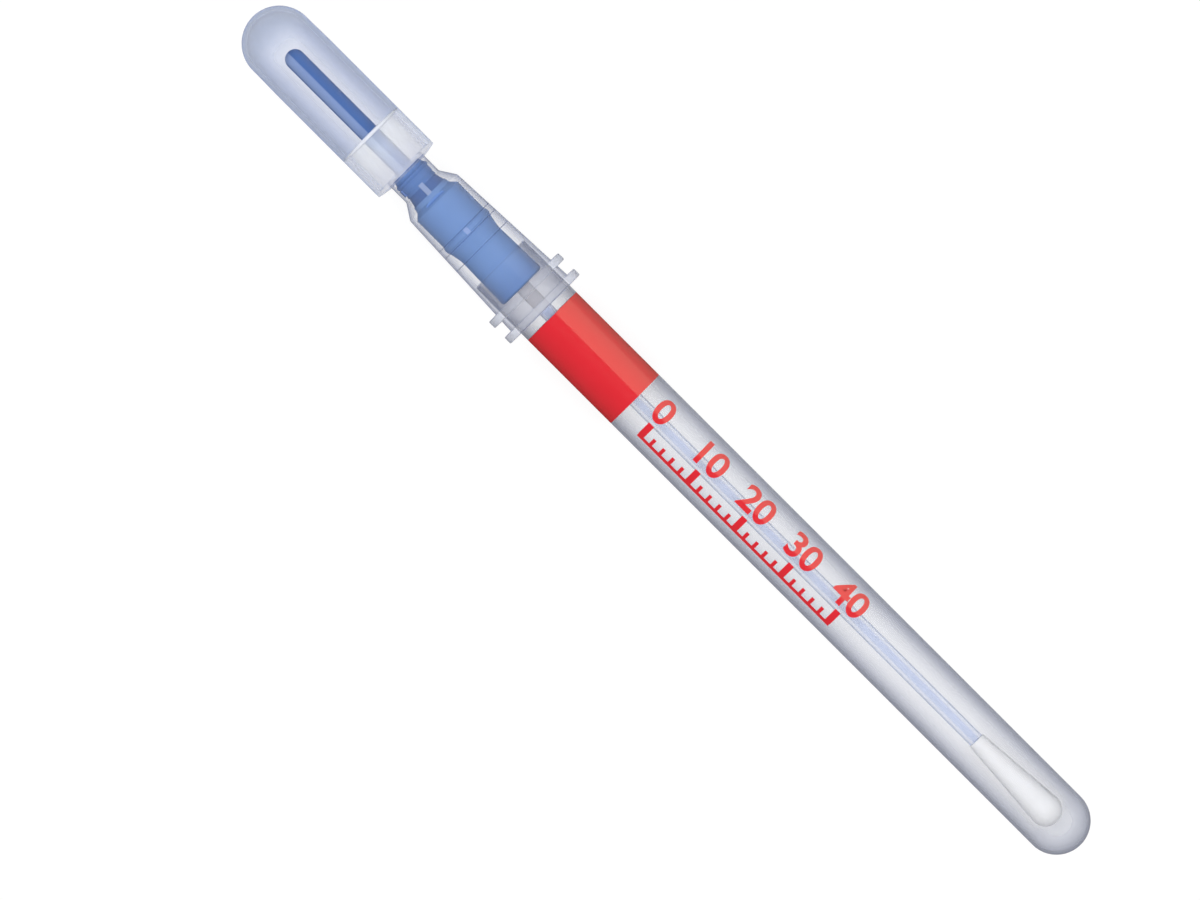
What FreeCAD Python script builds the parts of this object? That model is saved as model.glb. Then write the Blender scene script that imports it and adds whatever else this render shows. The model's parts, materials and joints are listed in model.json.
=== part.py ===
import FreeCAD, Part
import math
import os

# Specimen swab tube: a clear round-ended tube, stoppered by a swab that carries its own reagent.
# The swab's head is a clear housing with two finger flanges around a blue snap valve, and a soft
# bulb of reagent on the housing's neck. Bending the bulb snaps the valve's stem at its break
# groove, and the reagent then runs down the hollow shaft to the bud.
#
# Every piece is turned about the X axis, which runs from the bulb's tip towards the tube's round
# end. x = 0 is the step inside the housing that the tube's mouth comes up to, so the tube and the
# swab lie at x > 0 and the head mostly at x < 0. The whole is laid down at the end, as it rests.
# Sizes are in millimetres, and "above" the step means towards the bulb.

# Fits
fit_gap = 0.05              # radial clearance of what slides or plugs in
press_gap = 0.02            # radial clearance of what is pressed or glued in
seat_gap = 0.05             # end clearance where the tube's mouth meets its step

# Tube
tube_length = 125.0         # mouth to the tip of the round end
tube_radius = 5.2
tube_wall = 1.05
mouth_lead = 0.08           # the mouth is this much smaller in radius, to lead it into the housing
mouth_rounding = 0.25

# Label band, sunk flush in the tube's wall
label_thickness = 0.1
label_length = 17.85
label_offset = 1.45         # bare tube between the housing and the label

# Valve housing
skirt_depth = 9.8           # how far the housing reaches down over the tube
skirt_wall = 0.88           # at the skirt's open end
barrel_length = 14.15       # from the step up to the shoulder
barrel_wall = 0.71          # at the shoulder
shoulder_length = 2.4
shoulder_inset = 0.5        # the shoulder's inner cone starts this far below its outer one
shoulder_rounding = 0.9
neck_exposed = 3.1          # neck seen between the shoulder and the bulb
neck_seated = 1.0           # neck inside the bulb's stopper
neck_wall = 0.35
neck_rounding = 0.12
flange_width = 1.32         # how far the finger flanges stand out from the skirt
flange_thickness = 1.3
flange_spacing = 2.05       # clear gap between the two finger flanges
flange_rounding = 0.15
counterbore_height = 3.8    # the bore is wider from here down to the step
counterbore_step = 0.25

# Snap valve, with its heights above the housing's step
plug_depth = 4.95           # how far the valve reaches into the tube
plug_rounding = 0.45
body_step = 0.2             # the body is this much larger in radius than the plug
waist_reach = 2.13          # from the bead's flank down to the waist
waist_step = 0.22           # the waist is this much smaller in radius than the plug
waist_rounding = 5.0
bead_height = 7.0           # middle of the bead that holds the valve in the housing
bead_rise = 0.2
bead_width = 0.5
bead_flank = 0.42
bead_rounding = 0.2
valve_shoulder_gap = 0.8    # the valve's shoulder starts this far below the housing's
valve_shoulder_length = 0.9
valve_shoulder_rounding = 0.3
neck_bead_radius = 3.1      # guides the valve in the housing's neck
neck_bead_width = 0.25
neck_bead_flank = 0.3
neck_bead_rounding = 0.1
collar_drop = 0.22          # thick ring of the neck, this much smaller than the bead
collar_length = 1.25
collar_step = 0.35
cone_high_drop = 0.33       # top of the neck's cone, this much smaller than the bead
cone_low_rise = 0.32        # foot of the cone, this much larger than the bead
cone_length = 2.9
break_offset = 1.25         # from the cone's top to the middle of the break groove
break_width = 1.5
break_depth = 0.15
neck_top_drop = 0.6
neck_top_inset = 0.3        # the valve's neck ends this far below the housing's
neck_top_rounding = 0.2
stem_radius = 1.57
stem_length = 25.1
socket_depth = 12.0         # the swab's shaft is pressed this far into the valve
channel_radius = 0.75
cup_wall = 0.57             # the channel opens out just under the break groove
cup_depth = 1.2
cup_taper = 1.6
flute_angles = (120.0, 180.0, 240.0)    # flutes let the reagent past the neck bead, on the underside
flute_width = 0.7
lug_length = 1.2            # key lug on the side of the neck
lug_angle = 44.0
lug_root = 0.2              # how deep the lug is rooted in the collar
rib_length = 2.3            # tie rib across the break groove, on top
rib_width = 0.85
rib_height = 0.1
rib_root = 0.3              # how deep the rib is rooted in the neck
slot_length = 3.6           # slot at the foot of the valve's shoulder, on top
slot_width = 0.5
slot_depth = 0.12           # below the shoulder's foot
pip_length = 1.05           # recessed moulding gate in the bead, on top
pip_width = 0.76
pip_depth = 0.15

# Bulb
bulb_length = 32.5
bulb_radius = 5.84
bulb_wall = 0.8
bulb_draft = 0.16           # the tip is this much smaller in radius
bulb_draft_length = 10.6

# Bulb stopper
stopper_plug = 7.1          # length inside the bulb
stopper_crown = 0.3         # rise of its domed top
stopper_rim = 0.5           # thickness of its flange at the edge
stopper_belly = 0.4         # rise of its domed bottom
stem_passage = 0.25         # clearance around the stem, which the reagent runs through
neck_recess_gap = 0.2

# Swab
shaft_radius = 1.2
bud_length = 17.5
bud_radius = 2.58
bud_neck_wall = 0.18
bud_end_gap = 3.95          # from the bud to the tube's round end
shaft_in_bud = 10.0

# Radii that follow from the ones above
bore_radius = tube_radius - tube_wall
label_bed = tube_radius - label_thickness
mouth_radius = tube_radius - mouth_lead
plug_radius = bore_radius - fit_gap
waist_radius = plug_radius - waist_step
valve_radius = plug_radius + body_step
bead_radius = valve_radius + bead_rise
valve_bore = valve_radius + fit_gap
counterbore_radius = valve_bore + counterbore_step
barrel_radius = valve_bore + barrel_wall
skirt_radius = tube_radius + fit_gap + skirt_wall
flange_radius = skirt_radius + flange_width

neck_bore = neck_bead_radius + fit_gap
neck_radius = neck_bore + neck_wall
collar_radius = neck_bead_radius - collar_drop
cone_high_radius = neck_bead_radius - cone_high_drop
cone_low_radius = neck_bead_radius + cone_low_rise
neck_top_radius = neck_bead_radius - neck_top_drop
cup_radius = cone_high_radius - cup_wall
socket_radius = shaft_radius + press_gap
bud_neck_radius = socket_radius + bud_neck_wall

bulb_tip_radius = bulb_radius - bulb_draft
bulb_bore = bulb_radius - bulb_wall
bulb_bore_tip = bulb_tip_radius - bulb_wall
stopper_radius = bulb_bore - press_gap
stopper_hole = stem_radius + stem_passage

# Places along the axis that follow from the ones above
tube_mouth = seat_gap
tube_end = tube_mouth + tube_length
dome_centre = tube_end - tube_radius
label_start = skirt_depth + label_offset
label_end = label_start + label_length
upper_flange = skirt_depth - 2 * flange_thickness - flange_spacing
bud_tip = tube_end - tube_wall - bud_end_gap
bud_start = bud_tip - bud_length

shoulder_bottom = -barrel_length
shoulder_top = shoulder_bottom - shoulder_length
stopper_bottom = shoulder_top - neck_exposed
neck_top = stopper_bottom - neck_seated
valve_shoulder_bottom = shoulder_bottom + valve_shoulder_gap
valve_shoulder_top = valve_shoulder_bottom - valve_shoulder_length
cone_top = valve_shoulder_top - cone_length
break_middle = cone_top + break_offset
collar_top = cone_top - collar_length
valve_neck_top = neck_top + neck_top_inset
stem_tip = valve_neck_top - stem_length

bulb_rim = stopper_bottom - stopper_belly - stopper_rim
bulb_tip = bulb_rim - bulb_length
stopper_edge = bulb_rim - stopper_plug
stopper_top = stopper_edge - stopper_crown

same_point = 1e-6           # points closer than this are one point


def rounded_corner(before, corner, after, rounding):
    """Start, middle and end of the arc that rounds a corner between two straight edges.

    An arc that takes up a whole edge ends exactly at that edge's far point.
    """
    back, ahead = (before - corner).normalize(), (after - corner).normalize()
    half_angle = back.getAngle(ahead) / 2
    reach = rounding / math.tan(half_angle)
    centre = corner + (back + ahead).normalize() * (rounding / math.sin(half_angle))
    middle = centre + (corner - centre).normalize() * rounding
    first = before if abs(corner.distanceToPoint(before) - reach) < same_point else corner + back * reach
    last = after if abs(corner.distanceToPoint(after) - reach) < same_point else corner + ahead * reach
    return first, middle, last


def turned(profile):
    """Turn a closed profile about X, with its seam underneath, clear of the marks on top.

    The profile's corners are (x, radius) or (x, radius, rounding). Between two corners,
    ("through", x, radius) makes their line an arc through that point.
    """
    corners, bends = [], {}
    for entry in profile:
        if entry[0] == "through":
            bends[len(corners) - 1] = FreeCAD.Vector(entry[1], 0, -entry[2])
        else:
            corners.append(entry)
    points = [FreeCAD.Vector(corner[0], 0, -corner[1]) for corner in corners]
    stops = []
    for i, corner in enumerate(corners):
        if len(corner) > 2:
            stops.append(rounded_corner(points[i - 1], points[i], points[(i + 1) % len(points)], corner[2]))
        else:
            stops.append((points[i], points[i], points[i]))
    edges = []
    for i, (first, middle, last) in enumerate(stops):
        following = stops[(i + 1) % len(stops)][0]
        if first.distanceToPoint(last) > same_point:
            edges.append(Part.Arc(first, middle, last).toShape())
        if i in bends:
            edges.append(Part.Arc(last, bends[i], following).toShape())
        elif last.distanceToPoint(following) > same_point:
            edges.append(Part.LineSegment(last, following).toShape())
    face = Part.Face(Part.Wire(edges))
    return face.revolve(FreeCAD.Vector(0, 0, 0), FreeCAD.Vector(1, 0, 0), 360)


def round_tip(tip, radius, side_end, side_radius):
    """Corner that rounds a tip into a ball, tangent to the side that ends at (side_end, side_radius)."""
    slope = math.atan2(side_radius - radius, abs(side_end - tip))
    return (tip, radius, radius * math.tan((math.pi / 2 + slope) / 2))


def dome_bend(top, inner_radius, edge, outer_radius):
    """Bend that makes an end face part of a ball centred on the axis."""
    centre = (edge**2 + outer_radius**2 - top**2 - inner_radius**2) / (2 * (edge - top))
    ball_radius = math.hypot(top - centre, inner_radius)
    radius = (inner_radius + outer_radius) / 2
    rise = math.sqrt(ball_radius**2 - radius**2)
    return ("through", centre + math.copysign(rise, top - centre), radius)


def box_between(low, high):
    """Box from its lowest corner to its highest."""
    size = [b - a for a, b in zip(low, high)]
    return Part.makeBox(*size, FreeCAD.Vector(*low))


def about_x(solid, angle):
    """A copy of the solid, turned by an angle in degrees about the X axis."""
    copy = solid.copy()
    copy.rotate(FreeCAD.Vector(0, 0, 0), FreeCAD.Vector(1, 0, 0), angle)
    return copy


def cone_radius(x):
    """Radius of the valve's neck cone at x."""
    share = (x - cone_top) / cone_length
    return cone_high_radius + share * (cone_low_radius - cone_high_radius)


def make_tube():
    """Round-ended tube, with a bed for the label and a mouth that leads into the housing."""
    return turned([
        (tube_mouth, bore_radius, mouth_rounding),
        (tube_end - tube_wall, bore_radius, bore_radius),
        (tube_end - tube_wall, 0),
        (tube_end, 0),
        (tube_end, tube_radius, tube_radius),
        (label_end, tube_radius),
        (label_end, label_bed),
        (label_start, label_bed),
        (label_start, tube_radius),
        (skirt_depth, tube_radius),
        (tube_mouth, mouth_radius, mouth_rounding),
    ])


def make_label_band():
    """Film sleeve lying flush in the tube's bed."""
    return turned([
        (label_start + press_gap, label_bed + press_gap),
        (label_end - press_gap, label_bed + press_gap),
        (label_end - press_gap, tube_radius),
        (label_start + press_gap, tube_radius),
    ])


def make_valve_housing():
    """Neck, shoulder, tapered barrel and skirt, with two finger flanges."""
    flare = (barrel_radius - neck_radius) / shoulder_length
    inner_shoulder_top = shoulder_top + shoulder_inset
    inner_shoulder_bottom = inner_shoulder_top + (valve_bore - neck_bore) / flare
    groove_half = bead_width / 2 + bead_flank + fit_gap
    body = turned([
        (neck_top, neck_bore),
        (inner_shoulder_top, neck_bore),
        (inner_shoulder_bottom, valve_bore),
        (-bead_height - groove_half, valve_bore),
        (-bead_height - groove_half, bead_radius + fit_gap),
        (-bead_height + groove_half, bead_radius + fit_gap),
        (-bead_height + groove_half, valve_bore),
        (-counterbore_height, valve_bore),
        (-counterbore_height, counterbore_radius),
        (0, counterbore_radius),
        (0, mouth_radius + fit_gap),
        (skirt_depth, tube_radius + fit_gap),
        (skirt_depth, skirt_radius),
        (shoulder_bottom, barrel_radius, shoulder_rounding),
        (shoulder_top, neck_radius, shoulder_rounding / 2),
        (neck_top, neck_radius, neck_rounding),
    ])
    for start in (upper_flange, skirt_depth - flange_thickness):
        end = start + flange_thickness
        flange = turned([
            (start, tube_radius + fit_gap + skirt_wall / 2),
            (end, tube_radius + fit_gap + skirt_wall / 2),
            (end, flange_radius, flange_rounding),
            (start, flange_radius, flange_rounding),
        ])
        body = body.fuse(flange)
    return body.removeSplitter()


def make_snap_valve():
    """Stem, fluted neck with its break groove, and hollow body that plugs the tube's mouth."""
    bead_low, bead_high = -bead_height + bead_width / 2, -bead_height - bead_width / 2
    break_low, break_high = break_middle + break_width / 2, break_middle - break_width / 2
    neck_bead_low = collar_top - neck_bead_flank
    neck_bead_high = neck_bead_low - neck_bead_width
    cup_top = break_high + break_depth
    valve = turned([
        (stem_tip, 0),
        (stem_tip, stem_radius, stem_radius),
        (valve_neck_top, stem_radius),
        (valve_neck_top, neck_top_radius, neck_top_rounding),
        (neck_bead_high - neck_bead_flank, neck_top_radius + neck_bead_flank),
        (neck_bead_high, neck_bead_radius, neck_bead_rounding),
        (neck_bead_low, neck_bead_radius, neck_bead_rounding),
        (collar_top, collar_radius),
        (cone_top - collar_step, collar_radius),
        (cone_top, cone_high_radius),
        (break_high, cone_radius(break_high)),
        (break_high, cone_radius(break_high) - break_depth),
        (break_low, cone_radius(break_low) - break_depth),
        (break_low, cone_radius(break_low)),
        (valve_shoulder_top, cone_low_radius),
        (valve_shoulder_bottom, valve_radius, valve_shoulder_rounding),
        (bead_high - bead_flank, valve_radius),
        (bead_high, bead_radius, bead_rounding),
        (bead_low, bead_radius, bead_rounding),
        (bead_low + bead_flank, valve_radius),
        (bead_low + bead_flank + waist_reach, waist_radius, waist_rounding),
        (plug_depth, plug_radius, plug_rounding),
        (plug_depth, socket_radius),
        (plug_depth - socket_depth, socket_radius),
        (plug_depth - socket_depth, channel_radius),
        (cup_top + cup_depth + cup_taper, channel_radius),
        (cup_top + cup_depth, cup_radius),
        (cup_top, cup_radius),
        (cup_top, 0),
    ])
    return add_top_marks(add_neck_details(valve))


def add_neck_details(valve):
    """Flutes through the neck bead, and the key lug on the neck's -Y side."""
    bead_low = collar_top
    bead_high = bead_low - neck_bead_width - 2 * neck_bead_flank
    flute = box_between(
        (bead_high, -flute_width / 2, neck_top_radius),
        (bead_low, flute_width / 2, neck_bead_radius + fit_gap),
    )
    for angle in flute_angles:
        valve = valve.cut(about_x(flute, angle))
    lug_profile = Part.makePolygon([
        FreeCAD.Vector(collar_top, 0, collar_radius - lug_root),
        FreeCAD.Vector(collar_top + lug_length, 0, collar_radius - lug_root),
        FreeCAD.Vector(collar_top + lug_length, 0, neck_bead_radius),
        FreeCAD.Vector(collar_top, 0, neck_bead_radius),
        FreeCAD.Vector(collar_top, 0, collar_radius - lug_root),
    ])
    lug = Part.Face(lug_profile).revolve(FreeCAD.Vector(0, 0, 0), FreeCAD.Vector(1, 0, 0), lug_angle)
    return valve.fuse(about_x(lug, 90 - lug_angle / 2))


def add_top_marks(valve):
    """Tie rib across the break groove, slot in the shoulder and gate recess in the bead."""
    rib_low, rib_high = break_middle + rib_length / 2, break_middle - rib_length / 2
    rib_shape = turned([
        (rib_high, cone_radius(rib_high) - rib_root),
        (rib_low, cone_radius(rib_low) - rib_root),
        (rib_low, cone_radius(rib_low) + rib_height),
        (rib_high, cone_radius(rib_high) + rib_height),
    ])
    rib_box = box_between(
        (rib_high, -rib_width / 2, 0),
        (rib_low, rib_width / 2, barrel_radius),
    )
    slot = box_between(
        (valve_shoulder_top, -slot_length / 2, cone_low_radius - slot_depth),
        (valve_shoulder_top + slot_width, slot_length / 2, valve_bore),
    )
    pip = box_between(
        (-bead_height - pip_length / 2, -pip_width / 2, bead_radius - pip_depth),
        (-bead_height + pip_length / 2, pip_width / 2, bead_radius + fit_gap),
    )
    return valve.fuse(rib_shape.common(rib_box)).cut(slot).cut(pip).removeSplitter()


def make_bulb():
    """Soft round-ended bulb, open at its rim."""
    draft_end = bulb_tip + bulb_draft_length
    inner_tip = bulb_tip + bulb_wall
    return turned([
        (bulb_tip, 0),
        round_tip(bulb_tip, bulb_tip_radius, draft_end, bulb_radius),
        (draft_end, bulb_radius),
        (bulb_rim, bulb_radius),
        (bulb_rim, bulb_bore),
        (draft_end, bulb_bore),
        round_tip(inner_tip, bulb_bore_tip, draft_end, bulb_bore),
        (inner_tip, 0),
    ])


def make_bulb_stopper():
    """Plug in the bulb's mouth, with a hole around the stem and a recess for the housing's neck."""
    recess_radius = neck_radius + press_gap
    recess_top = neck_top - neck_recess_gap
    rim_edge = bulb_rim + stopper_rim
    return turned([
        (stopper_top, stopper_hole),
        dome_bend(stopper_top, stopper_hole, stopper_edge, stopper_radius),
        (stopper_edge, stopper_radius),
        (bulb_rim, stopper_radius),
        (bulb_rim, bulb_radius),
        (rim_edge, bulb_radius),
        dome_bend(stopper_bottom, recess_radius, rim_edge, bulb_radius),
        (stopper_bottom, recess_radius),
        (recess_top, recess_radius),
        (recess_top, stopper_hole),
    ])


def make_reagent():
    """Liquid that fills the bulb above its stopper, around the stem."""
    draft_end = bulb_tip + bulb_draft_length
    liquid_tip = bulb_tip + bulb_wall + press_gap
    liquid_radius = bulb_bore - press_gap
    stem_hole = stem_radius + press_gap
    edge, middle = stopper_edge - press_gap, stopper_top - press_gap
    return turned([
        (liquid_tip, 0),
        round_tip(liquid_tip, bulb_bore_tip - press_gap, draft_end, liquid_radius),
        (draft_end, liquid_radius),
        (edge, liquid_radius),
        dome_bend(middle, stem_hole, edge, liquid_radius),
        (middle, stem_hole),
        (stem_tip - press_gap, stem_hole, stem_hole),
        (stem_tip - press_gap, 0),
    ])


def make_swab_shaft():
    """Hollow shaft, from the valve's socket into the bud."""
    start, end = plug_depth - socket_depth, bud_start + shaft_in_bud
    return turned([
        (start, channel_radius),
        (end, channel_radius),
        (end, shaft_radius),
        (start, shaft_radius),
    ])


def make_swab_bud():
    """Wound fibre bud: a slender cone that ends in a round tip, bored for the shaft."""
    slope = (bud_radius - bud_neck_radius) / (bud_length - bud_radius)
    pocket_end = bud_start + shaft_in_bud + press_gap
    return turned([
        (bud_start, socket_radius),
        (bud_start, bud_neck_radius),
        round_tip(bud_tip, bud_neck_radius + slope * bud_length, bud_start, bud_neck_radius),
        (bud_tip, 0),
        (pocket_end, 0),
        (pocket_end, socket_radius),
    ])


def rest_placement():
    """Lay the assembly down: the lower flange's rim and the tube's round end touch z = 0.

    The origin ends up under the middle of the assembly's box.
    """
    rim_height = flange_radius - flange_rounding
    rim_distance = dome_centre - (skirt_depth - flange_rounding)
    drop = tube_radius - flange_rounding
    tilt = math.acos(drop / math.hypot(rim_height, rim_distance)) - math.atan2(rim_distance, rim_height)
    right = dome_centre * math.cos(tilt) + tube_radius
    left = (bulb_tip + bulb_tip_radius) * math.cos(tilt) - bulb_tip_radius
    move = FreeCAD.Vector(-(left + right) / 2, 0, dome_centre * math.sin(tilt) + tube_radius)
    return FreeCAD.Placement(move, FreeCAD.Rotation(FreeCAD.Vector(0, 1, 0), math.degrees(tilt)))


def main():
    pieces = {
        "tube": make_tube(),
        "label_band": make_label_band(),
        "valve_housing": make_valve_housing(),
        "snap_valve": make_snap_valve(),
        "bulb": make_bulb(),
        "bulb_stopper": make_bulb_stopper(),
        "reagent": make_reagent(),
        "swab_shaft": make_swab_shaft(),
        "swab_bud": make_swab_bud(),
    }
    laid_down = rest_placement().Matrix
    os.makedirs("parts", exist_ok=True)
    for name, solid in pieces.items():
        solid.transformed(laid_down, copy=True).exportStep(f"parts/{name}.step")


main()
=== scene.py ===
import json
import math
import random

import bmesh
import bpy
from mathutils import Matrix, Vector, noise
from mathutils.bvhtree import BVHTree

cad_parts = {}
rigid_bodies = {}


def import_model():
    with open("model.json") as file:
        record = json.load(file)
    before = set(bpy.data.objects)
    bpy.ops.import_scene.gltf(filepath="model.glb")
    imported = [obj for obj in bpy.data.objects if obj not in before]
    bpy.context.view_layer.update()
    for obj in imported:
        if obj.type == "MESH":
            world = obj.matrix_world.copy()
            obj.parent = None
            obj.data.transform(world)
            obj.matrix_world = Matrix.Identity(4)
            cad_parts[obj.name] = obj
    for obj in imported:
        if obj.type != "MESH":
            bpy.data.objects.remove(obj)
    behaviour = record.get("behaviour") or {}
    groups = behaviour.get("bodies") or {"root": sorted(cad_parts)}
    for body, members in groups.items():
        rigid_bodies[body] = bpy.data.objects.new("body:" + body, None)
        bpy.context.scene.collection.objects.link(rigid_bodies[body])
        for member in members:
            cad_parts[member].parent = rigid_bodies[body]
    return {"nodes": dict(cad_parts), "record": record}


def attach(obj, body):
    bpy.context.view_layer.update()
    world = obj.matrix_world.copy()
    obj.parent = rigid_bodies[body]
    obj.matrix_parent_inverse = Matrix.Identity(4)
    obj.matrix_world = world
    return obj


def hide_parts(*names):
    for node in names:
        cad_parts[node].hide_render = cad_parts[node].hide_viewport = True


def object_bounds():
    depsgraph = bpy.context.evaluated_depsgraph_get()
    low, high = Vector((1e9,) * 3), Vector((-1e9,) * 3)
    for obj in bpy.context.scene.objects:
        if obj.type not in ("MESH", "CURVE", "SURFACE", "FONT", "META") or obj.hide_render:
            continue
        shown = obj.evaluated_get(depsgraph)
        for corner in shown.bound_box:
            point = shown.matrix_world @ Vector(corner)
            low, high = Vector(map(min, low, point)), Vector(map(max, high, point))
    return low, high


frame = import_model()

# Specimen swab tube, seen straight from above. The tube's axis comes from its mount in the imported model,
# and the ends and radii of the pieces from the vertices of the CAD nodes; the edges inside the head that the
# colours follow, and the camera's aim, are given as numbers.
# Lengths are in metres; MM turns millimetres into metres.

MM = 0.001
cad_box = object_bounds()
nodes = frame["nodes"]

# ---------------------------------------------------------------- the axis and places along it

barrel = next(m for m in frame["record"]["mounts"] if m["name"] == "tube_barrel")
axis = Vector(barrel["axis"]).normalized()
side = Vector((0.0, 1.0, 0.0))
top = axis.cross(side).normalized()
barrel_middle = Vector(barrel["pos_m"])


def measured(node):
    """(first place along the axis, last place, largest radius) of a CAD node, from the barrel's middle."""
    places, radii = [], []
    for vertex in nodes[node].data.vertices:
        offset = vertex.co - barrel_middle
        place = offset.dot(axis)
        places.append(place)
        radii.append((offset - axis * place).length)
    return min(places), max(places), max(radii)


mouth = measured("tube")[0]
datum = barrel_middle + axis * mouth


def on_axis(place):
    """The point on the axis that is this far from the tube's mouth, towards its round end."""
    return datum + axis * place


def on_surface(place, radius, angle):
    """The point at this place and radius, at an angle round from the top towards +Y."""
    return on_axis(place) + (top * math.cos(angle) + side * math.sin(angle)) * radius


def reach(node):
    """(first place, last place, largest radius) of a CAD node, from the tube's mouth."""
    first, last, radius = measured(node)
    return first - mouth, last - mouth, radius


walls_of = {}


def outer_radius(node, place, angle=0.0):
    """Distance from the axis to a CAD node's outer wall, at this place and angle."""
    if node not in walls_of:
        mesh = nodes[node].data
        points = [vertex.co for vertex in mesh.vertices]
        walls_of[node] = BVHTree.FromPolygons(points, [face.vertices for face in mesh.polygons])
    outside = 20 * MM
    spoke = (on_surface(place, outside, angle) - on_axis(place)).normalized()
    distance = walls_of[node].ray_cast(on_axis(place) + spoke * outside, -spoke)[3]
    return outside - distance if distance else 0.0


tube_start, tube_end, tube_radius = reach("tube")
housing_start, housing_end, flange_radius = reach("valve_housing")
bulb_start, bulb_end, bulb_radius = reach("bulb")
stopper_start, stopper_end, stopper_radius = reach("bulb_stopper")
label_start, label_end = reach("label_band")[:2]
shaft_start, shaft_end = reach("swab_shaft")[:2]
bud_start, bud_end = reach("swab_bud")[:2]
dome_centre = tube_end - tube_radius
bulb_tip_centre = bulb_start + bulb_radius

# Edges inside the head that the colours follow, as (first place, last place) or one place.
STEM_FOOT = -19.9 * MM          # where the valve's stem ends, inside the stopper
STOPPER_FACE = -19.75 * MM      # where the valve's neck leaves the stopper
RIB = (-17.15 * MM, -15.0 * MM)
BREAK_GROOVE = (-16.7 * MM, -15.1 * MM)
NECK_FOOT = -16.2 * MM          # where the darker part of the valve's neck fades out
SLOT = (-14.2 * MM, -13.65 * MM)
GATE = (-7.6 * MM, -6.6 * MM)   # mark left by the mould's gate
HOUSING_STEPS = (-7.75 * MM, -6.36 * MM, -3.78 * MM)    # both sides of the bead's groove, and the counterbore
VALVE_FOOT = 4.95 * MM          # lower end of the valve's plug, in the tube
FIRST_FLANGE = (5.15 * MM, 6.45 * MM)
SECOND_FLANGE = (8.5 * MM, housing_end + 0.05 * MM)


# ---------------------------------------------------------------- shader helpers

def srgb(red, green, blue):
    """Linear colour of an sRGB triple given from 0 to 255."""
    def linear(value):
        value /= 255
        return value / 12.92 if value <= 0.04045 else ((value + 0.055) / 1.055) ** 2.4
    return linear(red), linear(green), linear(blue), 1.0


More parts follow.
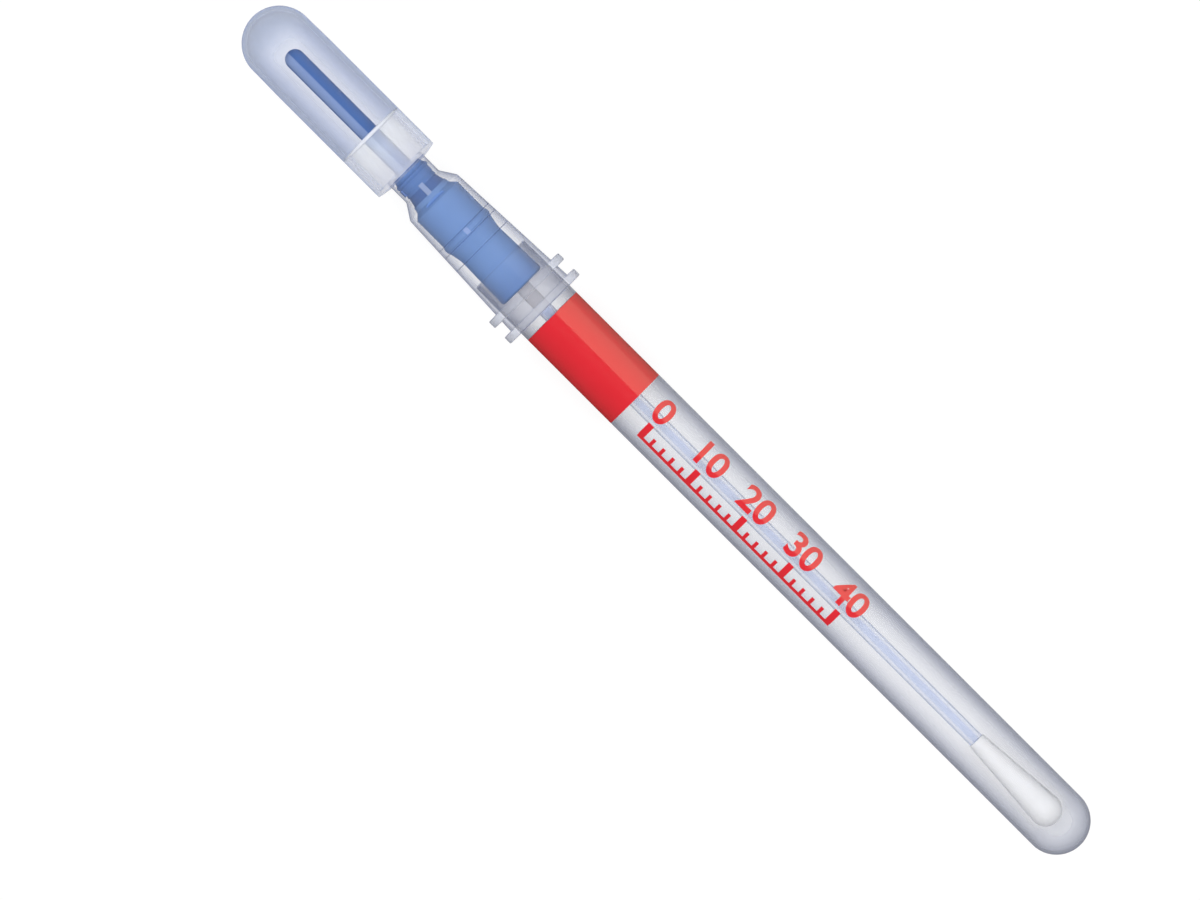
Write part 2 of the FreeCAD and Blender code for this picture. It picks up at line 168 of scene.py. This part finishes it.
class Surface:
    """One material under construction. Each method adds a node and returns its output."""

    def __init__(self, name):
        self.material = bpy.data.materials.new(name)
        self.material.use_nodes = True
        self.tree = self.material.node_tree
        self.tree.nodes.clear()
        self.output = self.tree.nodes.new("ShaderNodeOutputMaterial")

    def add(self, kind, inputs=None, out=0, **settings):
        node = self.tree.nodes.new("ShaderNode" + kind)
        for key, value in settings.items():
            setattr(node, key, value)
        for key, value in (inputs or {}).items():
            if isinstance(value, bpy.types.NodeSocket):
                self.tree.links.new(value, node.inputs[key])
            else:
                node.inputs[key].default_value = value
        return node.outputs[out]

    def math(self, operation, first, second=0.0, clamp=False):
        return self.add("Math", {0: first, 1: second}, operation=operation, use_clamp=clamp)

    def vector(self, operation, first, second=(0.0, 0.0, 0.0), out="Vector"):
        return self.add("VectorMath", {0: first, 1: second}, out=out, operation=operation)

    def ramp(self, value, stops):
        """Number that follows another along straight stretches between stops of (value, number)."""
        node = self.tree.nodes.new("ShaderNodeValToRGB")
        elements = node.color_ramp.elements
        while len(elements) < len(stops):
            elements.new(0.5)
        for element, (position, number) in zip(elements, stops):
            element.position = position
            element.color = (number, number, number, 1.0)
        self.tree.links.new(value, node.inputs[0])
        return node.outputs[0]

    def blend(self, factor, first, second):
        """Colour between first and second."""
        return self.add("Mix", {"Factor": factor, 6: first, 7: second}, out=2, data_type="RGBA")

    def noise(self, vector, scale, detail=3.0):
        return self.add("TexNoise", {"Vector": vector, "Scale": scale, "Detail": detail}, out="Fac")

    def bump(self, height, strength, distance):
        return self.add("Bump", {"Height": height, "Strength": strength, "Distance": distance})

    def band(self, value, first, last, soft):
        """1 where the value lies from first to last, fading to 0 over soft to either side of each."""
        rise = self.add("MapRange", {"Value": value, "From Min": first - soft, "From Max": first + soft},
                        interpolation_type="SMOOTHSTEP")
        fall = self.add("MapRange", {"Value": value, "From Min": last - soft, "From Max": last + soft},
                        interpolation_type="SMOOTHSTEP")
        return self.math("SUBTRACT", rise, fall)

    def facing(self):
        """0 where the surface faces the eye, 1 where it is seen edge-on."""
        return self.add("LayerWeight", {"Blend": 0.5}, out="Facing")

    def place(self):
        """The piece's own coordinates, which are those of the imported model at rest."""
        return self.add("TexCoord", out="Object")

    def offset(self):
        """From the middle of the tube's mouth to the shaded point."""
        return self.vector("SUBTRACT", self.place(), tuple(datum))

    def along(self):
        """Place along the axis, from the tube's mouth."""
        return self.vector("DOT_PRODUCT", self.offset(), tuple(axis), out="Value")

    def across(self):
        """Distance from the axis towards +Y."""
        return self.vector("DOT_PRODUCT", self.offset(), tuple(side), out="Value")

    def above(self):
        """1 on the upper side of the axis and 0 on the lower."""
        height = self.vector("DOT_PRODUCT", self.offset(), tuple(top), out="Value")
        return self.math("GREATER_THAN", height, 0.0)

    def outward(self, first, last):
        """1 on faces that look away from this stretch of the axis, and 0 on inner walls."""
        held = self.add("Clamp", {"Value": self.along(), "Min": first, "Max": last})
        centre = self.add("VectorMath", {0: tuple(axis), "Scale": held}, operation="SCALE")
        spoke = self.vector("SUBTRACT", self.offset(), centre)
        geometry = self.tree.nodes.new("ShaderNodeNewGeometry")
        towards = self.vector("DOT_PRODUCT", geometry.outputs["True Normal"], spoke, out="Value")
        turned = self.math("SUBTRACT", 1.0, self.math("MULTIPLY", geometry.outputs["Backfacing"], 2.0))
        return self.math("GREATER_THAN", self.math("MULTIPLY", towards, turned), -0.01 * MM)

    def mirrored(self, ior, share):
        """This share of what a smooth surface mirrors, the same from either side."""
        head_on = ((ior - 1) / (ior + 1)) ** 2
        grazing = self.math("POWER", self.facing(), 5.0)
        return self.add("MapRange", {"Value": grazing, "To Min": head_on * share, "To Max": share})

    def principled(self, colour, roughness, **inputs):
        named = {"Base Color": colour, "Roughness": roughness}
        named.update({key.replace("_", " "): value for key, value in inputs.items()})
        return self.add("BsdfPrincipled", named)

    def mix(self, factor, first, second):
        return self.add("MixShader", {0: factor, 1: first, 2: second})

    def finish(self, shader):
        self.tree.links.new(shader, self.output.inputs["Surface"])
        return self.material


def paint(piece, material):
    """Give every face of a piece or CAD node this material."""
    for slot in piece.material_slots:
        slot.material = material
    if not piece.material_slots:
        piece.data.materials.append(material)


# ---------------------------------------------------------------- clear plastics

CRISP = 0.06 * MM               # how softly a zone ends at an edge of the plastic
SHADE = 0.1                     # share of the opacity that keeps the lamps out


def clear_plastic(name, body, opacity, walls, zones=(), rim=None, clarity=0.55, shine=0.12,
                  tint=(1.0, 1.0, 1.0, 1.0), roughness=0.1):
    """See-through moulded plastic whose wall shows more towards its edges.

    opacity is (1 - cosine to the eye, share that hides what is behind) from face-on to edge-on.
    walls is (first place, last place) of the axis that the outer walls look away from; the inner
    walls don't show. zones is (first place, last place, how softly they end, colour, opacity) for
    stretches of the axis that differ. rim is the colour of the outline. clarity is the share of
    opacity that moves from the near wall to the far one, so that what is inside stays clear. shine
    is the share kept of what glass would mirror. Lamps reach what is inside through SHADE of the
    opacity.
    """
    s = Surface(name)
    dents = s.bump(s.noise(s.place(), 450.0, 2.0), 0.015, 0.1 * MM)
    outer, facing, along = s.outward(*walls), s.facing(), s.along()
    colour, hides = body, s.ramp(facing, opacity)
    for first, last, soft, zone_colour, zone_opacity in zones:
        inside = s.band(along, first, last, soft)
        colour = s.blend(inside, colour, zone_colour)
        hides = s.blend(inside, hides, s.ramp(facing, zone_opacity))
    if rim:
        colour = s.blend(s.ramp(facing, [(0.0, 0.0), (0.42, 0.0), (0.75, 1.0)]), colour, rim)
    geometry = s.tree.nodes.new("ShaderNodeNewGeometry")
    far = s.math("SUBTRACT", s.math("MULTIPLY", geometry.outputs["Backfacing"], 2.0), 1.0)
    moved = s.math("MULTIPLY", s.math("MULTIPLY", far, clarity), s.math("SUBTRACT", 1.0, facing))
    hides = s.math("MULTIPLY", hides, s.math("ADD", 1.0, moved), clamp=True)
    path = s.tree.nodes.new("ShaderNodeLightPath")
    lamp = s.add("MapRange", {"Value": path.outputs["Is Shadow Ray"], "To Min": 1.0, "To Max": SHADE})
    kept = s.math("MULTIPLY", outer, lamp)
    hides = s.math("MULTIPLY", hides, kept)
    shines = s.math("MULTIPLY", s.mirrored(1.5, shine), kept)
    see = s.add("BsdfTransparent", {"Color": tint})
    solid = s.add("BsdfDiffuse", {"Color": colour, "Normal": dents})
    gloss = s.add("BsdfGlossy", {"Color": (1.0, 1.0, 1.0, 1.0), "Roughness": roughness, "Normal": dents})
    return s.finish(s.mix(shines, s.mix(hides, see, solid), gloss))


# Each opacity goes from where the wall faces the eye to where it is edge-on.
barrel_wall = [(0.0, 0.17), (0.063, 0.19), (0.117, 0.23), (0.189, 0.29), (0.286, 0.38), (0.428, 0.51),
               (0.648, 0.64), (1.0, 0.82)]
round_end_wall = [(0.0, 0.26), (0.067, 0.27), (0.19, 0.37), (0.3, 0.42), (0.428, 0.5), (0.648, 0.64),
                  (1.0, 0.82)]
over_valve = [(0.0, 0.02), (0.2, 0.06), (0.3, 0.24), (0.42, 0.48), (0.65, 0.64), (1.0, 0.78)]
mouth_edge = [(0.0, 0.02), (0.3, 0.1), (1.0, 0.35)]
in_skirt = [(0.0, 0.3), (0.117, 0.35), (0.286, 0.44), (0.428, 0.5), (0.648, 0.58), (1.0, 0.75)]
tube_grey, head_grey, skirt_grey = srgb(160, 166, 186), srgb(154, 161, 184), srgb(160, 164, 182)
tube_plastic = clear_plastic(
    "tube_plastic", tube_grey, barrel_wall, (tube_start, dome_centre),
    zones=[(dome_centre - MM, tube_end + 9 * MM, 1.2 * MM, tube_grey, round_end_wall),
           (tube_start - MM, VALVE_FOOT, CRISP, head_grey, over_valve),
           (tube_start - MM, tube_start + 0.13 * MM, CRISP, head_grey, mouth_edge),
           (VALVE_FOOT, housing_end, CRISP, skirt_grey, in_skirt)])

housing_wall = [(0.0, 0.03), (0.2, 0.07), (0.35, 0.18), (0.55, 0.36), (0.7, 0.5), (0.85, 0.66), (1.0, 0.8)]
flange_wall = [(0.0, 0.2), (0.24, 0.26), (0.32, 0.5), (0.6, 0.55), (0.8, 0.75), (1.0, 0.9)]
housing_plastic = clear_plastic(
    "housing_plastic", srgb(184, 193, 222), housing_wall, (housing_start, housing_end),
    zones=[(*flange, CRISP, srgb(232, 237, 250), flange_wall) for flange in (FIRST_FLANGE, SECOND_FLANGE)],
    shine=0.03)

bulb_wall = [(0.0, 0.14), (0.05, 0.18), (0.1, 0.26), (0.2, 0.38), (0.3, 0.47), (0.45, 0.52), (0.6, 0.54),
             (1.0, 0.62)]
over_stopper = [(0.0, 0.1), (0.3, 0.25), (0.45, 0.3), (0.52, 0.42), (0.6, 0.4), (0.7, 0.38), (1.0, 0.6)]
bulb_tip_wall = [(0.0, 0.42), (0.2, 0.5), (0.5, 0.5), (1.0, 0.6)]
bulb_plastic = clear_plastic(
    "bulb_plastic", srgb(178, 190, 214), bulb_wall, (bulb_tip_centre, bulb_end),
    zones=[(stopper_start + 0.15 * MM, bulb_end + MM, CRISP, srgb(226, 231, 247), over_stopper),
           (bulb_start - 9 * MM, bulb_start + 5.5 * MM, 2.5 * MM, srgb(177, 187, 203), bulb_tip_wall)],
    rim=srgb(188, 208, 249), shine=0.03)
reagent_liquid = clear_plastic(
    "reagent_liquid", srgb(200, 210, 240), [(0.0, 0.02), (1.0, 0.05)], (bulb_tip_centre, bulb_end),
    tint=(0.95, 0.96, 0.99, 1.0))

milky = [(0.0, 0.5), (0.2, 0.54), (0.33, 0.5), (0.47, 0.36), (0.75, 0.2), (1.0, 0.1)]
clearer = [(0.0, 0.42), (0.2, 0.5), (0.33, 0.48), (0.47, 0.36), (0.75, 0.2), (1.0, 0.1)]
stopper_end_wall = [(0.0, 0.64), (0.12, 0.64), (0.2, 0.45), (0.5, 0.42), (1.0, 0.3)]
stopper_white = srgb(237, 239, 241)
stopper_plastic = clear_plastic(
    "stopper_plastic", stopper_white, milky, (stopper_start, stopper_end),
    zones=[(stopper_start - 3 * MM, stopper_start + 2.2 * MM, 1.2 * MM, stopper_white, clearer),
           (stopper_start + 4.5 * MM, stopper_end + 3 * MM, 2 * MM, srgb(227, 228, 234), milky),
           (bulb_end - 0.2 * MM, stopper_end + MM, 0.1 * MM, srgb(214, 217, 230), stopper_end_wall)],
    rim=srgb(198, 212, 246), clarity=0.0, shine=0.05, roughness=0.3)

straw = [(0.0, 0.3), (0.06, 0.29), (0.16, 0.12), (0.28, 0.1), (0.5, 0.3), (0.8, 0.42), (1.0, 0.42)]
painted_shade_in_housing = [(0.0, 0.4), (0.8, 0.4), (1.0, 0.2)]
painted_shade_below_skirt = [(0.0, 0.45), (0.3, 0.36), (0.8, 0.4), (1.0, 0.2)]
# The shaft's shades by place: painted shade, greyer, from its upper end to the second flange; pale and nearly
# clear behind the second flange; and painted shade, a little darker, from the housing's end to 1 mm under the
# label.
shaft_plastic = clear_plastic(
    "shaft_plastic", srgb(164, 186, 232), straw, (shaft_start, shaft_end),
    zones=[(shaft_start - MM, SECOND_FLANGE[0], CRISP, srgb(176, 174, 180), painted_shade_in_housing),
           (SECOND_FLANGE[0], housing_end, CRISP, srgb(200, 202, 214), [(0.0, 0.04), (1.0, 0.1)]),
           (housing_end, label_start + MM, CRISP, srgb(158, 178, 226), painted_shade_below_skirt)],
    clarity=0.0, roughness=0.2)


# ---------------------------------------------------------------- solid materials

def blue_valve():
    """Matt blue plastic: darker on the stem and the neck; painted highlights on one side of the stem, the rib
    and the gate, and painted shade in the break groove and the slot.
    """
    s = Surface("blue_valve")
    place, along, across, above = s.place(), s.along(), s.across(), s.above()
    edge = 0.07 * MM                # how softly a mark ends
    colour = s.blend(s.noise(place, 500.0, 4.0), srgb(117, 148, 199), srgb(123, 154, 205))
    neck = s.math("MULTIPLY", s.band(along, STEM_FOOT, NECK_FOOT, 0.9 * MM), 0.8)
    colour = s.blend(neck, colour, srgb(96, 126, 180))
    colour = s.blend(s.band(along, STEM_FOOT, STOPPER_FACE, 0.05 * MM), colour, srgb(156, 172, 206))
    foot = s.add("MapRange", {"Value": along, "From Min": 1.2 * MM, "From Max": 4.9 * MM, "To Max": 0.45})
    colour = s.blend(foot, colour, srgb(92, 120, 172))
    stem = s.band(along, bulb_start, STEM_FOOT, 0.05 * MM)
    colour = s.blend(stem, colour, srgb(66, 110, 172))
    # Painted highlight: a paler stripe along the stem's -Y side.
    lit_side = s.math("MULTIPLY", s.band(across, -1.42 * MM, -0.1 * MM, 0.12 * MM), stem)
    colour = s.blend(lit_side, colour, srgb(146, 168, 206))
    # Painted shade in the break groove, all round the neck.
    colour = s.blend(s.band(along, *BREAK_GROOVE, edge), colour, srgb(90, 116, 168))
    # Painted highlights on the rib and the gate, and painted shade in the slot, over their geometry on the
    # upper side only.
    for stretch, half_width, shade, share in (
            (RIB, 0.42 * MM, srgb(158, 174, 208), 0.9),
            (SLOT, 1.8 * MM, srgb(112, 147, 208), 1.0),
            (GATE, 0.4 * MM, srgb(156, 176, 220), 0.9)):
        within = s.math("MULTIPLY", s.band(across, -half_width, half_width, edge), above)
        mark = s.math("MULTIPLY", s.math("MULTIPLY", within, s.band(along, *stretch, edge)), share)
        colour = s.blend(mark, colour, shade)
    dents = s.bump(s.noise(place, 4000.0, 2.0), 0.1, 0.03 * MM)
    return s.finish(s.principled(colour, 0.6, Specular_IOR_Level=0.05, Normal=dents))


def red_film():
    """Printed film. The share that it mirrors is the same at every angle, so its edges stay red."""
    s = Surface("red_film")
    place = s.place()
    colour = s.blend(s.noise(place, 300.0, 3.0), srgb(222, 16, 42), srgb(228, 22, 48))
    ripples = s.bump(s.noise(place, 500.0, 3.0), 0.03, 0.1 * MM)
    matt = s.add("BsdfDiffuse", {"Color": colour, "Normal": ripples})
    gloss = s.add("BsdfGlossy", {"Color": (0.7, 1.0, 0.7, 1.0), "Roughness": 0.12, "Normal": ripples})
    return s.finish(s.mix(0.025, matt, gloss))


def bud_fibre():
    """White fibre that scatters light, with a soft sheen."""
    s = Surface("bud_fibre")
    place = s.place()
    colour = s.blend(s.noise(place, 2500.0, 4.0), srgb(252, 252, 253), srgb(255, 255, 255))
    return s.finish(s.principled(
        colour, 0.9, Specular_IOR_Level=0.1, Sheen_Weight=1.0, Sheen_Roughness=0.6,
        Subsurface_Weight=0.3, Subsurface_Radius=(1.0, 1.0, 1.0), Subsurface_Scale=0.8 * MM))


def thin_mark(name, scale, dark, light, cover):
    """Fine mottled line or painted highlight on the plastic, which hides this share of what is behind it."""
    s = Surface(name)
    shade = s.blend(s.noise(s.place(), scale, 2.0), dark, light)
    see = s.add("BsdfTransparent", {"Color": (1.0, 1.0, 1.0, 1.0)})
    return s.finish(s.mix(cover, see, s.add("BsdfDiffuse", {"Color": shade})))


blue_valve_plastic, red_film_print, fibre = blue_valve(), red_film(), bud_fibre()
# A step inside the clear plastic shows as a tinted line, and a white ring on the stopper's rim is a painted
# highlight.
moulded_line = thin_mark("moulded_line", 800.0, srgb(70, 98, 160), srgb(82, 110, 172), 0.22)
painted_rim_highlight = thin_mark("painted_rim_highlight", 900.0, srgb(250, 251, 253), srgb(255, 255, 255), 0.6)
for node, material in {
    "tube": tube_plastic, "label_band": red_film_print, "valve_housing": housing_plastic,
    "snap_valve": blue_valve_plastic, "bulb": bulb_plastic, "bulb_stopper": stopper_plastic,
    "reagent": reagent_liquid, "swab_shaft": shaft_plastic, "swab_bud": fibre,
}.items():
    paint(nodes[node], material)


# ---------------------------------------------------------------- modelled pieces

def new_piece(name, points, faces, material, body, smooth=True):
    """Mesh piece that rides on a body and takes its finish from one of the record's slots."""
    mesh = bpy.data.meshes.new(name)
    mesh.from_pydata(points, [], faces)
    mesh.validate()
    mesh.polygons.foreach_set("use_smooth", [smooth] * len(mesh.polygons))
    piece = bpy.data.objects.new(name, mesh)
    bpy.context.scene.collection.objects.link(piece)
    mesh.materials.append(material)
    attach(piece, body)
    return piece


def ring(name, place, radius, half_width, half_height, material, body, columns=160, rows=12):
    """Bead round the axis with an oval section. half_width is a function of the angle from the top."""
    points, faces = [], []
    for column in range(columns):
        angle = 2 * math.pi * column / columns
        wide = half_width(angle)
        for row in range(rows):
            turn = 2 * math.pi * row / rows
            height = radius + half_height * math.sin(turn)
            points.append(on_surface(place + wide * math.cos(turn), height, angle))
    for column in range(columns):
        across = (column + 1) % columns
        for row in range(rows):
            up = (row + 1) % rows
            faces.append((column * rows + row, across * rows + row, across * rows + up, column * rows + up))
    return new_piece(name, points, faces, material, body)


def tapered(angle):
    """Half width of the stopper's painted rim highlight: widest on top and underneath, and next to nothing at
    the sides.
    """
    return (0.04 + 0.26 * abs(math.cos(angle))) * MM


def even(half_width):
    """The same half width all round."""
    return lambda angle: half_width


for number, step in enumerate(HOUSING_STEPS):
    inside_wall = outer_radius("valve_housing", step) - 0.03 * MM
    ring(f"housing_line_{number}", step, inside_wall, even(0.065 * MM), 0.05 * MM,
         moulded_line, "swab")
ring("skirt_edge", housing_end - 0.06 * MM, tube_radius + 0.06 * MM, even(0.08 * MM), 0.05 * MM,
     moulded_line, "swab")
# Painted highlight: a white ring along the stopper's rim.
ring("stopper_rim", stopper_start + 0.24 * MM, stopper_radius - 0.14 * MM, tapered, 0.1 * MM,
     painted_rim_highlight, "swab")


LOOSE_FIBRES = 170


def wound_bud():
    """Bud of fibre wound round the shaft: crossing strands in relief, and loose fibres lying on them."""
    rows, columns, tip = 260, 150, 0.15
    rng = random.Random(11)
    length = bud_end - bud_start
    points, faces = [], []
    for row in range(rows + 1):
        share = row / rows
        if share > 1 - tip:         # closer rows towards the round tip
            share = 1 - tip + tip * math.sin(math.pi / 2 * (share - 1 + tip) / tip)
        place = bud_start + length * min(max(share, 0.002), 0.998)
        hull = outer_radius("swab_bud", place)
        for column in range(columns):
            angle = 2 * math.pi * column / columns
            points.append(on_surface(place, hull - relief(place, angle, hull), angle))
    for row in range(rows):
        for column in range(columns):
            across = (column + 1) % columns
            faces.append((row * columns + column, row * columns + across,
                          (row + 1) * columns + across, (row + 1) * columns + column))
    for row, order in ((0, -1), (rows, 1)):
        faces.append([row * columns + column for column in range(columns)][::order])
    for _ in range(LOOSE_FIBRES):
        loose_fibre(points, faces, rng)
    bud = new_piece("wound_bud", points, faces, fibre, "swab")
    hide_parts("swab_bud")
    return bud


def relief(place, angle, hull):
    """Depth of the wound strands' furrows below the bud's outline."""
    wander = noise.noise(Vector((place * 400, math.cos(angle) * 1.2, math.sin(angle) * 1.2)))
    one_way = math.sin(2 * math.pi * place / (0.34 * MM) + 3 * angle + 2.2 * wander)
    other_way = math.sin(2 * math.pi * place / (0.41 * MM) - 4 * angle + 1.7 * wander)
    lumps = noise.noise(Vector((place * 900, hull * math.cos(angle) * 900, hull * math.sin(angle) * 900)))
    depth = 0.012 + 0.009 * (1 - max(one_way, other_way)) + 0.012 * abs(lumps)
    return min(depth * MM, hull * 0.5)


def loose_fibre(points, faces, rng):
    """One fine fibre lying along the bud's surface for part of a turn."""
    steps, sides, thick = 16, 5, rng.uniform(0.008, 0.013) * MM
    place = bud_start + (bud_end - bud_start) * rng.uniform(0.03, 0.93)
    angle, turn = rng.uniform(0, 2 * math.pi), rng.uniform(0.5, 1.4)
    drift = rng.uniform(-0.7, 0.7) * MM
    lift = rng.uniform(0.0, 0.02) * MM
    centres = []
    for step in range(steps):
        share = step / (steps - 1)
        at = min(max(place + drift * share, bud_start + 0.1 * MM), bud_end - 0.25 * MM)
        height = outer_radius("swab_bud", at) - 0.01 * MM + lift * math.sin(math.pi * share)
        centres.append(on_surface(at, height, angle + turn * share))
    first = len(points)
    for step, centre in enumerate(centres):
        ahead = (centres[min(step + 1, steps - 1)] - centres[max(step - 1, 0)]).normalized()
        out = (centre - datum).cross(ahead).normalized()
        other = ahead.cross(out)
        for corner in range(sides):
            bend = 2 * math.pi * corner / sides
            points.append(centre + (out * math.cos(bend) + other * math.sin(bend)) * thick)
    for step in range(steps - 1):
        for corner in range(sides):
            across = (corner + 1) % sides
            low, high = first + step * sides, first + (step + 1) * sides
            faces.append((low + corner, low + across, high + across, high + corner))
    faces.append([first + corner for corner in range(sides)][::-1])
    faces.append([first + (steps - 1) * sides + corner for corner in range(sides)])


wound_bud()


# ---------------------------------------------------------------- printed scale

def flat_bar(layout, start, end, low, high):
    """Rectangle of print: places along the tube, and heights round it."""
    corners = ((start, low), (end, low), (end, high), (start, high))
    layout.faces.new([layout.verts.new((x, y, 0.0)) for x, y in corners])


def flat_number(layout, text, middle, foot, size):
    """Number set along the tube, with its middle at a place and its foot at a height."""
    curve = bpy.data.curves.new("number", "FONT")
    curve.body, curve.size, curve.align_x, curve.offset = text, size, "CENTER", size * 0.025
    curve.resolution_u = 8
    letter = bpy.data.objects.new("number", curve)
    bpy.context.scene.collection.objects.link(letter)
    bpy.context.view_layer.update()
    mesh = bpy.data.meshes.new_from_object(letter.evaluated_get(bpy.context.evaluated_depsgraph_get()))
    mesh.transform(Matrix.Translation((middle, foot, 0.0)))
    layout.from_mesh(mesh)
    for leftover, store in ((letter, bpy.data.objects), (curve, bpy.data.curves), (mesh, bpy.data.meshes)):
        store.remove(leftover)


def from_lowest(corners):
    """The same loop of corners, begun at the lowest."""
    start = corners.index(min(corners))
    return corners[start:] + corners[:start]


def wrapped(layout, radius, thick, strip):
    """Points and faces of a flat layout, cut into strips, wrapped round the axis and given a thickness."""
    bmesh.ops.remove_doubles(layout, verts=layout.verts, dist=0.001 * MM)
    heights = [vertex.co.y for vertex in layout.verts]
    cut = min(heights) + strip
    while cut < max(heights):
        geometry = layout.verts[:] + layout.edges[:] + layout.faces[:]
        bmesh.ops.bisect_plane(layout, geom=geometry, dist=0.0005 * MM,
                               plane_co=(0, cut, 0), plane_no=(0, 1, 0))
        cut += strip
    bmesh.ops.triangulate(layout, faces=layout.faces)
    raised = bmesh.ops.extrude_face_region(layout, geom=layout.faces[:], use_keep_orig=True)
    for item in raised["geom"]:
        if isinstance(item, bmesh.types.BMVert):
            item.co.z = thick
    layout.normal_update()
    # bmesh keeps no fixed order from run to run, so points and faces are put in order of place.
    ordered = sorted(layout.verts, key=lambda vertex: tuple(vertex.co))
    for index, vertex in enumerate(ordered):
        vertex.index = index
    points = [on_surface(v.co.x, radius + v.co.z, v.co.y / radius) for v in ordered]
    return points, sorted(from_lowest([v.index for v in face.verts]) for face in layout.faces)


def printed_scale():
    """Generic graduated scale in the label's red: a rail, ticks every 2 mm and numbers every 10 mm."""
    layout = bmesh.new()
    start, count, pitch = label_end + 4.5 * MM, 20, 2 * MM
    rail_low, rail_high = -4.1 * MM, -3.5 * MM
    flat_bar(layout, start - 0.5 * MM, start + count * pitch + 0.5 * MM, rail_low, rail_high)
    for tick in range(count + 1):
        major, middle = tick % 5 == 0, start + tick * pitch
        half, high = (0.55 * MM, -1.0 * MM) if major else (0.3 * MM, -2.3 * MM)
        flat_bar(layout, middle - half, middle + half, rail_high, high)
    for mark in range(count // 5 + 1):
        flat_number(layout, str(10 * mark), start + mark * 5 * pitch, -0.2 * MM, 6.0 * MM)
    points, faces = wrapped(layout, tube_radius + 0.004 * MM, 0.012 * MM, 0.35 * MM)
    layout.free()
    return new_piece("printed_scale", points, faces, red_film_print, "tube", smooth=False)


printed_scale()


# ---------------------------------------------------------------- floor, world, lights and camera

KEY = 5.0                       # radiance of the lamp overhead
CARD = 3.5                      # radiance of the standing gloss card
FLOOR_CARD = 2.0                # radiance of the one on the floor
FILL = 0.2                      # brightness of the studio all round


def make_floor():
    """Floor that looks white, and is lit just enough to keep the object's soft shadow."""
    mesh = bpy.data.meshes.new("floor")
    half = 1.5
    mesh.from_pydata([(-half, -half, 0), (half, -half, 0), (half, half, 0), (-half, half, 0)],
                     [], [(0, 1, 2, 3)])
    floor = bpy.data.objects.new("floor", mesh)
    bpy.context.scene.collection.objects.link(floor)
    floor.location.z = cad_box[0].z - 0.02 * MM
    s = Surface("pale_floor")
    path = s.tree.nodes.new("ShaderNodeLightPath")
    seen = s.math("MAXIMUM", path.outputs["Is Camera Ray"],
                  s.math("MAXIMUM", path.outputs["Is Glossy Ray"], path.outputs["Is Transmission Ray"]))
    white = s.add("Emission", {"Color": (1.0, 1.0, 1.0, 1.0), "Strength": 1.03})
    matt = s.add("BsdfDiffuse", {"Color": (1.0, 1.0, 1.0, 1.0)})
    bounce = s.add("BsdfDiffuse", {"Color": (0.4, 0.4, 0.4, 1.0)})
    paint(floor, s.finish(s.mix(seen, bounce, s.mix(0.85, matt, white))))


def make_world():
    """White to the eye, in gloss and through glass, and a dim studio for everything else."""
    world = bpy.data.worlds.new("studio")
    bpy.context.scene.world = world
    world.use_nodes = True
    tree = world.node_tree
    path = tree.nodes.new("ShaderNodeLightPath")
    background = tree.nodes["Background"]
    seen = path.outputs["Is Camera Ray"]
    for ray in ("Is Glossy Ray", "Is Transmission Ray"):
        either = tree.nodes.new("ShaderNodeMath")
        either.operation = "MAXIMUM"
        tree.links.new(seen, either.inputs[0])
        tree.links.new(path.outputs[ray], either.inputs[1])
        seen = either.outputs[0]
    strength = tree.nodes.new("ShaderNodeMapRange")
    tree.links.new(seen, strength.inputs["Value"])
    strength.inputs["To Min"].default_value = FILL
    strength.inputs["To Max"].default_value = 1.0
    background.inputs["Color"].default_value = (1.0, 1.0, 1.0, 1.0)
    tree.links.new(strength.outputs["Result"], background.inputs["Strength"])


def aim(thing, place, target, up_hint):
    """Put a lamp or camera at a place, looking along its -Z at the target, with +Y towards up_hint."""
    back = (place - target).normalized()
    right = up_hint.cross(back).normalized()
    up = back.cross(right)
    turn = Matrix((right, up, back)).transposed().to_4x4()
    thing.matrix_world = Matrix.Translation(place) @ turn


def softbox(name, place, width, height, radiance):
    """Rectangular lamp of even brightness, aimed at the origin."""
    data = bpy.data.lights.new(name, "AREA")
    data.shape = "RECTANGLE"
    data.size, data.size_y = width, height
    data.energy = radiance * math.pi * width * height
    lamp = bpy.data.objects.new(name, data)
    bpy.context.scene.collection.objects.link(lamp)
    aim(lamp, place, Vector((0, 0, 0)), Vector((0, 1, 0)))
    return lamp


# The key light hangs overhead and lights the surfaces. Two gloss cards stand on the +Y side: one from
# just beside the camera down to the horizon, and one that lies on the floor from the flange outwards.
# Only gloss shows them, so the first one's edge runs along the top of every round piece.
key = softbox("key", Vector((0.0, 0.0, 1.4)), 1.1, 1.1, KEY)
key.visible_glossy = key.visible_camera = False
card = softbox("gloss_card", Vector((0.0, 0.754, 0.578)), 2.4, 1.458, CARD)
floor_card = softbox("floor_card", Vector((0.0, 0.0, -1.0)), 2.4, 1.2, FLOOR_CARD)
floor_card.location = (0.0, 0.6 + flange_radius + MM, cad_box[0].z + 0.3 * MM)
for reflector in (card, floor_card):
    reflector.visible_diffuse = reflector.visible_camera = reflector.visible_shadow = False

LENS, SENSOR = 400.0, 36.0
VIEW_WIDTH = 182.4 * MM         # of the plane through the tube's axis
camera_data = bpy.data.cameras.new("camera")
camera_data.lens, camera_data.sensor_width = LENS, SENSOR
camera = bpy.data.objects.new("camera", camera_data)
bpy.context.scene.collection.objects.link(camera)
bpy.context.scene.camera = camera
look_at = Vector((-5.17 * MM, -9.24 * MM, (cad_box[0].z + cad_box[1].z) / 2))
distance = VIEW_WIDTH * LENS / SENSOR
aim(camera, look_at + Vector((0, 0, distance)), look_at, Vector((-1, 1, 0)))
camera_data.clip_start, camera_data.clip_end = 0.01, 20.0

make_floor()
make_world()
bpy.context.scene.view_settings.view_transform = "Standard"
bpy.context.scene.cycles.transparent_max_bounces = 32
